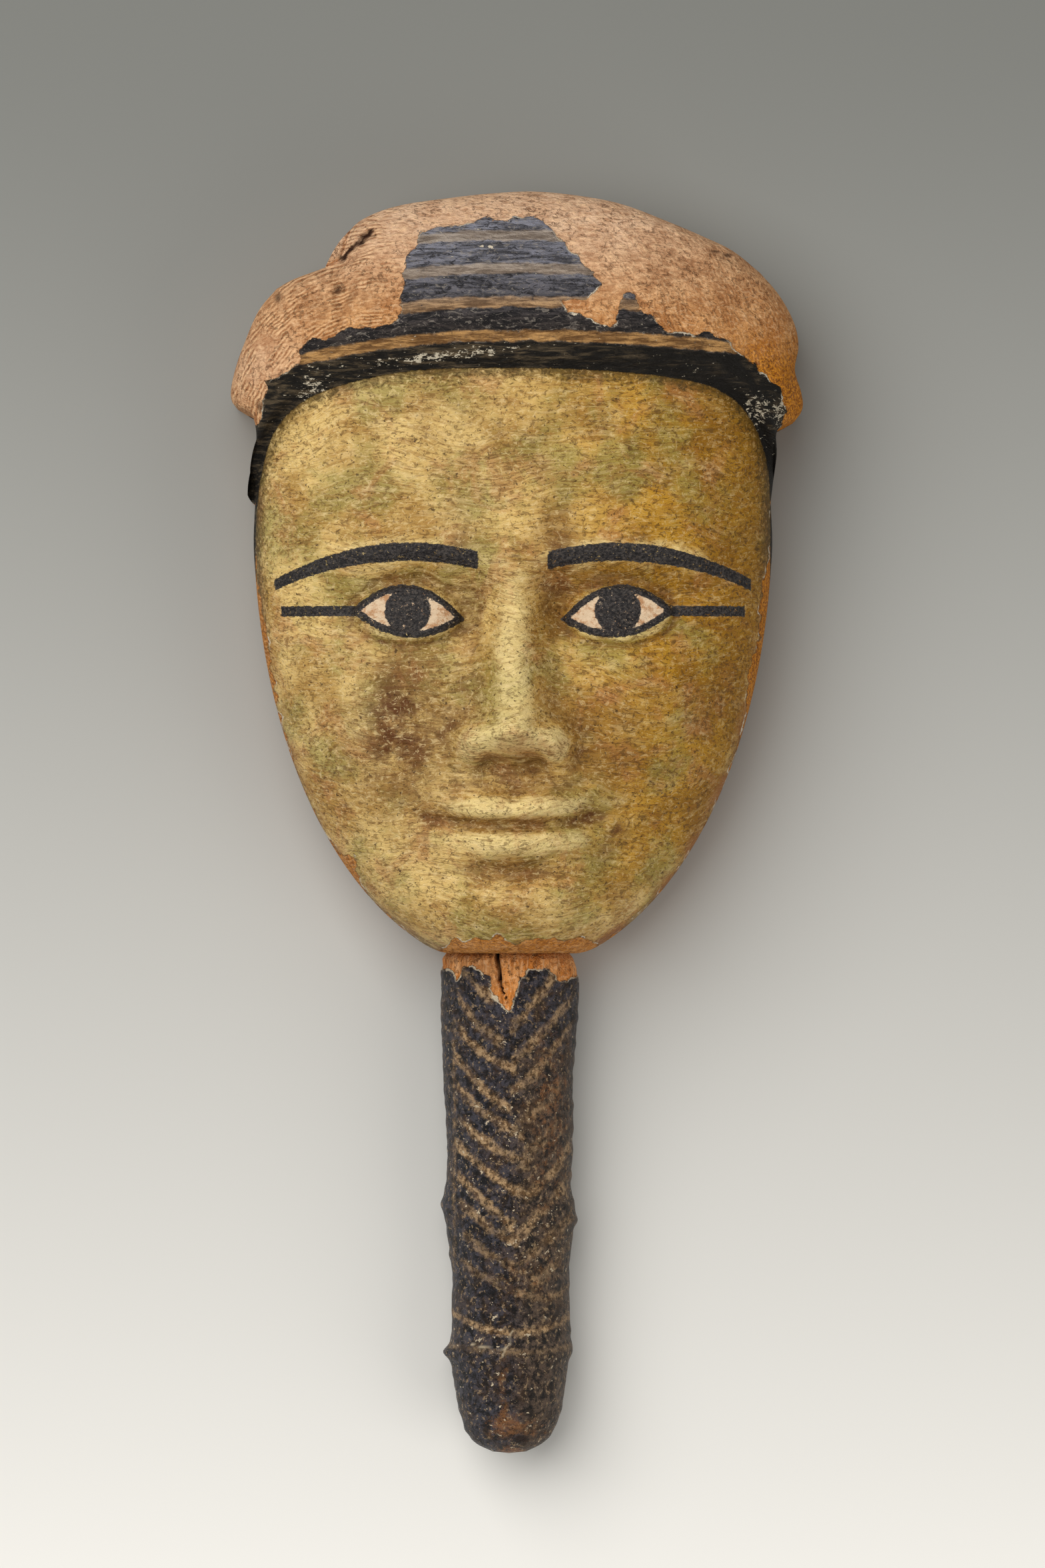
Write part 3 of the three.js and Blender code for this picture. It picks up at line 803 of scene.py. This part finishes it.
wig_colour = over(low_down, upper_blue, lower_blue)
cracked = streaky(tree, (3.6, 1.9, 2.5), 3, 0.7, 1.4)
wig_colour = laid(wig_colour, [
    (share_of(fine, 0.58, 0.68, 0.45), (150, 138, 124)),
    (share_of(cracked, 0.45, 0.38, 0.75), (20, 18, 20)),
    (share_of(cracked, 0.58, 0.62, 0.4), (164, 154, 142)),
])
upper_tan = two_tone(streaks, 0.4, 0.6, (124, 108, 94), (180, 164, 148))
lower_tan = two_tone(streaks, 0.4, 0.62, (114, 78, 40), (210, 160, 98))
tan_colour = over(between(read(tree, "stripe"), 40, 14), upper_tan, lower_tan)
wig_colour = over(times(tan, 0.88), wig_colour, tan_colour)
# The band's rubbed grey is held back on the right, where shade is painted.
band_rubbed_and_lit = add_some(read(tree, "browned_and_shaded"), -0.85, 1.0)
band_rubbed_and_lit = times(between(streaks, 0.46, 0.66), band_rubbed_and_lit)
band_black = over(band_rubbed_and_lit, srgb(18, 14, 9), srgb(92, 78, 58))
wig_colour = over(between(stripe, BAND_TOP + 0.5, BAND_TOP - 0.5), wig_colour, band_black)
crumbly = streaky(tree, (2.6, 1.3, 2), 4, 0.76)
crumbly = add_some(read(tree, "fleck"), 0.17, crumbly)
wig_colour = laid(wig_colour, [(share_of(crumbly, 0.665, 0.69, 0.9), (210, 198, 174))])

# The face's ochre: paler on the left where painted light falls and browner on the right, partly painted
# shade, with green stains, brush marks, dark patches, painted shade in the hollows, a painted highlight on
# the ridges, and grit.
FLOW_REACH = (16, 24, 0)
mottle = cloudy(place, 26, 6, 0.62, 0.4)
# A lit and a shaded copy of the ochre, mixed by the painted shade on the right.
lit_ochre = two_tone(mottle, 0.36, 0.64, (176, 136, 68), (228, 194, 122))
shaded = two_tone(mottle, 0.36, 0.64, (142, 97, 8), (188, 139, 36))
browning_and_shade = read(tree, "browned_and_shaded")
green = between(cloudy(place, 30, 6, 0.62), 0.46, 0.62)
rosy = between(cloudy(place, 20, 6, 0.66, 0.8), 0.5, 0.66)
tufts = cloudy(place, 20, 5, 0.6)
flow = node(tree, "ShaderNodeTexNoise", {"Vector": place, "Scale": 1 / 45, "Detail": 1.0}).outputs["Color"]
flow = node(tree, "ShaderNodeVectorMath", {0: flow, 1: (0.5, 0.5, 0.5)}, operation="SUBTRACT").outputs[0]
flow_inputs = {0: flow, 1: FLOW_REACH, 2: place}
flow = node(tree, "ShaderNodeVectorMath", flow_inputs, operation="MULTIPLY_ADD").outputs[0]
sweep = cloudy(mapped(flow, Scale=(1 / 14, 1 / 1.8, 1 / 6)), 1.0, 3, 0.65, 1.2)
pale_left = add_some(browning_and_shade, -0.35, 1.0)
brush_place = mapped(flow, Scale=(1 / 8, 1 / 1.5, 1 / 4), Rotation=(0, 0, 0.2))
brushed = cloudy(brush_place, 1.0, 3, 0.65, 1.4)
brushed = times(between(brushed, 0.54, 0.6), between(tufts, 0.36, 0.56))
patches_and_shade_layer = times(read(tree, "patches_and_shade"), between(cloudy(place, 8, 7, 0.74), 0.22, 0.64))
grit = streaky(tree, (2.3, 1.7, 2), 3, 0.7, 0.6)
dark_grit = add_some(browning_and_shade, 0.16, 0.54)
dots = cloudy(place, 1.6, 4, 0.7)
rubbed = streaky(tree, (0.6, 5, 2), 5, 0.7, 0.8)
under_hair = add_some(calc("SUBTRACT", grit, 0.5), 16, read(tree, "past_hair"))
face_colour = laid(over(browning_and_shade, lit_ochre, shaded), [
    (times(green, 0.55), (134, 132, 66)),
    # Painted highlight on the ridges.
    (times(read(tree, "ridge_highlight"), 0.75), (242, 218, 150)),
    (times(rosy, 0.5), (180, 120, 74)),
    # Painted shade, deepest at the right edge.
    (share_of(browning_and_shade, 0.9, 1.4, 0.75), (138, 94, 2)),
    (share_of(sweep, 0.53, 0.61, 0.36), (136, 84, 30)),
    (times(share_of(sweep, 0.46, 0.39, 0.24), pale_left), (232, 204, 152)),
    (times(brushed, 0.5), (100, 64, 24)),
    # Dark patches, with painted shade in the hollows.
    (patches_and_shade_layer, (94, 54, 20)),
    (times(between(grit, 0.55, 0.62), dark_grit), (92, 62, 20)),
    (times(share_of(grit, 0.44, 0.37, 0.38), pale_left), (238, 212, 156)),
    (share_of(dots, 0.61, 0.65, 0.8), (64, 42, 20)),
    (share_of(rubbed, 0.62, 0.7, 0.45), (230, 206, 156)),
    (times(read(tree, "edge_wear"), 0.6), (150, 88, 36)),
    (share_of(under_hair, -7, 1, 0.85), (72, 54, 16)),
])

# Eyes and brows in black over a warm white, frayed and crumbled, then the layers together.
eye_noise = shake(place, 2.0, 6, 0.8)
eye_white = between(read(tree, "eye_white"), -0.1, 0.2)
white_colour = two_tone(cloudy(place, 4, 7, 0.75), 0.46, 0.62, (218, 192, 160), (182, 136, 96))
face_colour = over(eye_white, face_colour, white_colour)
inked = between(add_some(eye_noise, 2.6, read(tree, "ink")), -0.15, 0.15)
worn_ink = between(cloudy(place, 1.4, 6, 0.8), 0.36, 0.4)
inked = times(inked, worn_ink)
ink_colour = two_tone(fine, 0.42, 0.66, (26, 24, 26), (76, 70, 66))
face_colour = over(inked, face_colour, ink_colour)

on_wig = between(add_some(eye_noise, 2.0, read(tree, "past_hair")), -0.25, 0.25)
paint_colour = over(on_wig, face_colour, wig_colour)
paint_colour = over(is_gesso, paint_colour, srgb(222, 208, 184))
mask_colour = over(is_bare, paint_colour, wood_colour)

face_grain = add_some(sweep, 0.8, grit)
wig_grain = add_some(cracked, 2.0, fine)
paint_grain = node(tree, "ShaderNodeMix", {0: on_wig, 2: face_grain, 3: wig_grain}).outputs[0]
paint_height = calc("ADD", paint_grain, 1.0)
paint_roughness = add_some(fine, 0.3, 0.4)
join_up(tree, shader, mask_colour, is_bare, paint_height, wood_height, 0.0009, 0.8, paint_roughness)
mask.data.materials.append(painted_wood)

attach(mask, "root")
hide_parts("mask")

# The beard is a second piece of wood, a rod with a flat top that met the chin, round in front and flat
# behind, painted blue-black with tan strokes for plaits and tan bands near its end. The top is bare and has
# split along the grain. Lengths are in millimetres: x from its axis, down from its top.
beard_low, beard_high = (np.array(corner) * 1000 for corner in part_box("beard"))
beard_length = beard_high[1] - beard_low[1]
DEPTH_OF_HIGHEST = 41 / 42.4
beard_depth = DEPTH_OF_HIGHEST * beard_high[2]
BEARD_WIDTH = 50
TIP_LENGTH = 0.2 * beard_length
TIP_LIFT = 7
TIP_SWELL = 3
CORD_DOWN = 0.797 * beard_length
CORD_PROUD = 1.6
CORD_WIDTH = 8
BEARD_EDGE = [
    (0, 0.484, 0.47), (0.046, 0.494, 0.506), (0.149, 0.494, 0.494), (0.255, 0.474, 0.464),
    (0.396, 0.452, 0.464), (0.467, 0.459, 0.447), (0.515, 0.473, 0.478), (0.61, 0.42, 0.445),
    (0.681, 0.408, 0.44), (0.78, 0.415, 0.435), (0.834, 0.408, 0.42), (0.898, 0.376, 0.391),
    (0.934, 0.342, 0.352), (0.96, 0.305, 0.31), (0.981, 0.235, 0.24), (0.996, 0.125, 0.13),
]
BEARD_SIDES = 220
SHAFT_END = 0.93
SHAFT_ROWS = 210
TIP_ROWS = 30

edge_line = spline(BEARD_EDGE)
tip_turn = np.linspace(0, np.pi / 2, TIP_ROWS + 1)[1:]
shaft_down = np.linspace(0, SHAFT_END, SHAFT_ROWS + 1)
row_down = np.concatenate([shaft_down, SHAFT_END + 0.066 * np.sin(tip_turn)])
down = row_down * beard_length
edge_left = -BEARD_WIDTH * np.interp(row_down, edge_line[:, 0], edge_line[:, 1])
edge_right = BEARD_WIDTH * np.interp(row_down, edge_line[:, 0], edge_line[:, 2])
near_tip = np.maximum(0, 1 - (beard_length - down) / TIP_LENGTH)
cord = CORD_PROUD * np.exp(-(((down - CORD_DOWN) / (CORD_WIDTH / 2)) ** 2))
closing = np.sqrt(np.maximum(0.01, 1 - near_tip**3.2))
slim = beard_depth * blend(1, 0.9, rise(down, 0, 0.7 * beard_length))
depth = (slim + cord + TIP_SWELL * np.sin(np.pi * np.minimum(1, near_tip + 0.15))) * closing
base = TIP_LIFT * near_tip**2 + 0.42 * beard_depth * (1 - closing)
lift = blend(0.56, 0.5, rise(near_tip, 0, 0.6)) * depth
half = (edge_right - edge_left) / 2 + cord
angle = np.linspace(0, 2 * np.pi, BEARD_SIDES + 1)[:-1][None]
beard_x = (edge_left + edge_right)[:, None] / 2 + half[:, None] * np.sin(angle)
beard_z = base[:, None] + np.maximum(0, (depth - lift)[:, None] - lift[:, None] * np.cos(angle))
beard_down = down[:, None] + 0 * beard_x

# Where the paint has gone from the beard's top, as points of the photograph.
BEARD_AXIS_PIXEL = 762
BEARD_TOP_PIXEL = 1428
BEARD_PAINT_EDGE = [
    (640, 1446), (662, 1450), (677, 1455), (685, 1467), (694, 1450), (705, 1445), (725, 1457),
    (735, 1465), (736, 1477), (740, 1492), (752, 1507), (763, 1513), (767, 1505), (772, 1485),
    (779, 1462), (792, 1452), (824, 1451), (828, 1462), (837, 1470), (851, 1467), (866, 1462),
    (890, 1464),
]
ABOVE_BEARD = [(890, 1300), (640, 1300)]
beard_bare_outline = np.array(BEARD_PAINT_EDGE + ABOVE_BEARD, float)
beard_bare_outline = (beard_bare_outline - (BEARD_AXIS_PIXEL, BEARD_TOP_PIXEL)) * MM_PER_PIXEL
beard_bare = signed_distance(beard_x, beard_down, beard_bare_outline)
beard_bare = beard_bare + 0.3 * ripple(beard_x, beard_down, 4, 21)

# The split runs down from the top a little left of the axis and closes where the paint begins.
SPLIT_END = 20.5
SPLIT_DEEP = 7
SPLIT = [(-4.6, 0), (-3.7, 7.8), (-3.1, 12), (-1.2, 16.3), (0.3, SPLIT_END)]
split_line = spline(SPLIT)
split_x = np.interp(beard_down, split_line[:, 1], split_line[:, 0])
split_half = 0.75 * rise(SPLIT_END - beard_down, 0, 14)
split_depth = SPLIT_DEEP * np.clip(1.15 - abs(beard_x - split_x) / np.maximum(0.05, split_half), 0, 1)
split_depth *= (beard_down < SPLIT_END) * rise(SPLIT_END - beard_down, 0, 6)

# Lumps in the wood and knobs on its sides, the skin of paint, and the worn top edge. A knob is how far it
# stands out, or in, and its place.
KNOBS = [
    (1.2, -24, 93), (1.2, 24.5, 99), (1.4, -23.5, 148), (-0.5, 22.5, 149.5), (0.6, -23, 113),
    (0.6, -22, 128), (0.5, 20.5, 140),
]
KNOB_SPREAD = (4, 2.2)
in_front = rise((beard_z - base[:, None]) / depth[:, None], 0.3, 0.5)
lumps = 0.12 * ripple(beard_x, beard_down, 26, 22) + 0.12 * ripple(beard_x, beard_down, 5, 23)
lumps = lumps + hills(beard_x, beard_down, [(*knob, *KNOB_SPREAD) for knob in KNOBS])
skin = 0.5 * (1 - rise(beard_bare, -0.4, 0.4))
top_edge = 1.2 * (1 - rise(beard_down, 0, 2.5))
proud = (lumps + skin - top_edge) * rise(beard_z, 0.5, 4) * rise(beard_length - beard_down, 0, 8)
proud = proud - split_depth * in_front
out_x = np.sin(angle) * np.ones_like(beard_x)
out_z = -np.cos(angle) * np.ones_like(beard_x)
beard_points = np.dstack([beard_x + proud * out_x, beard_down, np.maximum(0, beard_z + proud * out_z)])

beard_rows = len(down)
beard_numbers = np.arange(beard_rows * BEARD_SIDES).reshape(beard_rows, BEARD_SIDES)
next_numbers = np.roll(beard_numbers, -1, 1)
beard_quads = np.stack([beard_numbers[:-1], beard_numbers[1:], next_numbers[1:], next_numbers[:-1]], -1)
beard_faces = beard_quads.reshape(-1, 4).tolist()
ends = [(np.array([[0, 0, 0.5 * beard_depth]]), beard_numbers[0], next_numbers[0])]
tip_z = beard_points[-1, :, 2].mean()
ends.append((np.array([[0, beard_length, tip_z]]), next_numbers[-1], beard_numbers[-1]))
all_beard = beard_points.reshape(-1, 3)
for tip, first, second in ends:
    beard_faces += [(len(all_beard), a, b) for a, b in zip(first.tolist(), second.tolist())]
    all_beard = np.vstack([all_beard, tip])
beard_axis = beard_low[0] - (edge_left - cord).min()
placed = [all_beard[:, 0] + beard_axis, beard_high[1] - all_beard[:, 1], all_beard[:, 2]]
beard = mesh_object("plaited_beard", (np.column_stack(placed) / 1000).tolist(), beard_faces)
beard.data.shade_smooth()


def mark_beard(name, field):
    """Numbers for the beard: its own, then the mean of each end's row for that end's middle"""
    give(beard.data, name, np.concatenate([field.ravel(), [field[0].mean(), field[-1].mean()]]))


# Plaits: brushed strokes that run down from both borders to the axis. Each one is its ends in the
# photograph's pixels, and how much of its paint is left. Those on the right are fainter and have mostly
# worn away half way.
STROKES = [
    (690, 1449, 737, 1496, 0.75), (688, 1500, 752, 1560, 0.7), (687, 1543, 770, 1600, 0.85),
    (682, 1585, 762, 1660, 1), (686, 1633, 783, 1706, 0.95), (688, 1679, 790, 1747, 0.9),
    (682, 1711, 788, 1796, 1), (685, 1757, 768, 1840, 1), (690, 1806, 776, 1864, 0.7),
    (694, 1850, 772, 1902, 0.5), (690, 1892, 752, 1927, 0.4), (832, 1456, 766, 1538, 0.95),
    (853, 1500, 768, 1588, 0.8), (853, 1546, 764, 1636, 0.85), (838, 1626, 776, 1690, 0.5),
    (834, 1680, 782, 1737, 0.35), (853, 1714, 789, 1797, 0.95), (853, 1766, 770, 1858, 0.8),
    (853, 1820, 782, 1890, 0.75), (852, 1868, 796, 1926, 0.65),
]


def from_beard(x, y):
    """Millimetres from the beard's axis and its top"""
    return (x - BEARD_AXIS_PIXEL) * MM_PER_PIXEL, (y - BEARD_TOP_PIXEL) * MM_PER_PIXEL


wander = 0.55 * ripple(beard_x, beard_down, 26, 31)
brush = 1.5 + 0.25 * ripple(beard_x, beard_down, 12, 33)
stroke = np.full(beard_x.shape, -9.0)
keeps = np.zeros(beard_x.shape)
for *ends_px, left_over in STROKES:
    (ax, ay), (bx, by) = from_beard(*ends_px[:2]), from_beard(*ends_px[2:])
    along = (beard_x - ax) / (bx - ax)
    bow = 1.6 * (1 - (2 * along - 1) ** 2)
    reach = np.minimum(along, 1.02 - along) * abs(bx - ax)
    off_line = abs(beard_down + wander - blend(ay, by, along) - bow) / np.hypot(1, (by - ay) / (bx - ax))
    plait = np.minimum(brush - off_line, reach)
    keeps = np.where(plait > stroke, left_over, keeps)
    stroke = np.maximum(stroke, plait)

# A line borders the plaits on the left, two bands cross below them, and a hook of tan joins the last plaits.
BORDER_X = -19.7
BORDER_TOP = 24
BORDER_END = 118
BANDS_FROM = 130
UPPER_BAND = 134.5
LOWER_BAND = 145.5
border = np.minimum(beard_down - BORDER_TOP, BORDER_END - beard_down)
border = np.minimum(border, 0.2 - abs(beard_x - BORDER_X))
band_sag = 5.5 * (1 - ((beard_x - 2) / 20) ** 2)
upper_band = 1.2 - abs(beard_down - UPPER_BAND - band_sag)
lower_band = 0.9 - abs(beard_down - LOWER_BAND - 0.25 * band_sag)
hook = 1.2 - abs(np.hypot((beard_x - 12) / 1.3, beard_down - 115) - 12)
hook = np.minimum(hook, np.minimum(beard_down - 113, beard_x - 2))
keeps = np.where(beard_down > BANDS_FROM, np.where(lower_band > upper_band, 0.4, 1.1), keeps)
rubbed_away = (0.8 + 0.25 * ripple(beard_x, beard_down, 9, 34)).clip(0.3, 1)
keeps = keeps * (1 - 0.15 * rise(beard_x, 0, 10)) * rubbed_away
stroke = np.maximum.reduce([stroke, border, upper_band, lower_band, hook])
mark_beard("stroke", np.minimum(stroke, 12 * (in_front - 0.4)))
mark_beard("stroke_keeps", keeps)

# The flat back is bare. A knot shows in front near the tip, and the wood left of the split has gone grey.
BACK_LEVEL = 1
BACK_BARE = 6.0
mark_beard("bare", np.where(beard_z < BACK_LEVEL, BACK_BARE, beard_bare))
off_knot = np.hypot((beard_x - 4.4) / 2.8, (beard_down - 179) / 1.5)
knot = 0.9 * rise(-off_knot, -1.2, -0.6)
# The split and the knot hole are painted near black, as painted shade in them.
mark_beard("hollow", np.maximum(rise(split_depth, 0.5, 3), knot * in_front))
grey_streaks = (0.7 + 0.4 * ripple(beard_x, beard_down * 0.3, 4, 25)).clip(0, 1)
weathered = rise(split_x - beard_x, 0, 3) * grey_streaks
mark_beard("weathered", weathered + 0.5 * rise(3 - beard_down, 0, 2))

# White lines where the paint has cracked at the band, wood worn bare at the tip, and pale crumbs.
CRACKS = [
    [(707, 2018), (723, 2022), (754, 2024), (763, 2018), (763, 2005), (768, 1997)],
    [(757, 2022), (752, 2037)],
]
TIP_WEAR = [
    (1.1, -1, 174.5, 7, 5.5), (0.6, -2, 160, 2, 13), (1.4, 0.7, 184, 6, 1.5), (0.6, 15, 60, 8, 45),
    (0.4, 6, 120, 14, 10), (0.5, 10, 176, 5, 4),
]
CRUMBS = [
    (1, -14, 78, 6, 26), (1, 10, 108, 10, 12), (1, 0, 62, 10, 10), (1, -8, 142, 14, 6),
    (0.6, 0, 178, 14, 10),
]
cracks_mm = [[from_beard(*place) for place in line] for line in CRACKS]
crack_distance = np.minimum.reduce([near_line(beard_x, beard_down, line) for line in cracks_mm])
mark_beard("crack", rise(-crack_distance, -0.4, -0.1) * in_front)
mark_beard("wear", np.clip(hills(beard_x, beard_down, TIP_WEAR) * in_front, 0, 1))
mark_beard("crust", hills(beard_x, beard_down, CRUMBS) * in_front)
faded = 0.65 * rise(beard_x, -3, 9) * (1 - 0.4 * hill(beard_x, beard_down, 20, 30, 12, 20))
mark_beard("faded", faded * rise(beard_down, 20, 45))

beard_wood, tree, shader = new_finish("painted beard wood")
place = millimetres(tree)
fine = streaky(tree, (1.5, 2.0, 1.7), 3, 0.7)
light_wood = srgb(240, 172, 106)
deep_wood = srgb(212, 130, 54)
wood_colour, wood_height = bare_wood(tree, place, light_wood, deep_wood, (1.3, 9, 2))
wood_colour = laid(wood_colour, [(times(read(tree, "weathered"), 0.4), (124, 74, 40))])
edge_noise = shake(place, 1.8, 6, 0.75)
gesso_here = between(cloudy(place, 5, 4), 0.42, 0.54)
is_bare, is_gesso = paint_edge(tree, edge_noise, 2.6, -0.9, -0.4, gesso_here)
clouds = cloudy(place, 3.2, 4, 0.7, 0.6)
dark = two_tone(clouds, 0.4, 0.6, (20, 19, 22), (68, 66, 74))
faded_dark = two_tone(clouds, 0.42, 0.6, (40, 32, 26), (104, 82, 58))
dark = over(read(tree, "faded"), dark, faded_dark)
brown = between(cloudy(place, 9, 6, 0.7), 0.46, 0.62)
brown = times(brown, add_some(read(tree, "wear"), 0.8, 0.4))
dark = over(brown, dark, srgb(80, 58, 38))
stroke_noise = shake(place, 2.2, 8, 0.85)
frayed_stroke = add_some(stroke_noise, 5.5, read(tree, "stroke"))
stroke_share = times(between(frayed_stroke, -0.9, 0.9), read(tree, "stroke_keeps"))
tan_paint = two_tone(cloudy(place, 2.6, 3, 0.7), 0.4, 0.6, (106, 78, 48), (204, 168, 124))
wear = add_some(read(tree, "wear"), 0.3, cloudy(place, 3.5, 8, 0.8))
crusty = add_some(read(tree, "crust"), 0.05, cloudy(place, 2.4, 3, 0.7))
beard_colour = laid(over(stroke_share, dark, tan_paint), [
    (share_of(wear, 0.6, 0.84, 0.75), (150, 100, 58)),
    (share_of(fine, 0.45, 0.38, 0.75), (14, 12, 13)),
    (share_of(fine, 0.58, 0.63, 0.55), (176, 148, 112)),
    (share_of(crusty, 0.67, 0.69, 0.9), (214, 196, 166)),
    (times(read(tree, "crack"), 0.8), (200, 182, 152)),
    (is_gesso, (214, 198, 170)),
])
beard_colour = over(is_bare, beard_colour, wood_colour)
# Painted shade in the split and the knot hole.
beard_colour = over(read(tree, "hollow"), beard_colour, srgb(36, 17, 8))
paint_grain = calc("ADD", fine, times(cloudy(place, 3.5, 6, 0.7), 1.4))
paint_height = calc("ADD", paint_grain, 0.6)
paint_roughness = add_some(fine, 0.4, 0.24)
join_up(tree, shader, beard_colour, is_bare, paint_height, wood_height, 0.0015, 0.9, paint_roughness)
beard.data.materials.append(beard_wood)

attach(beard, "root")
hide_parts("beard")
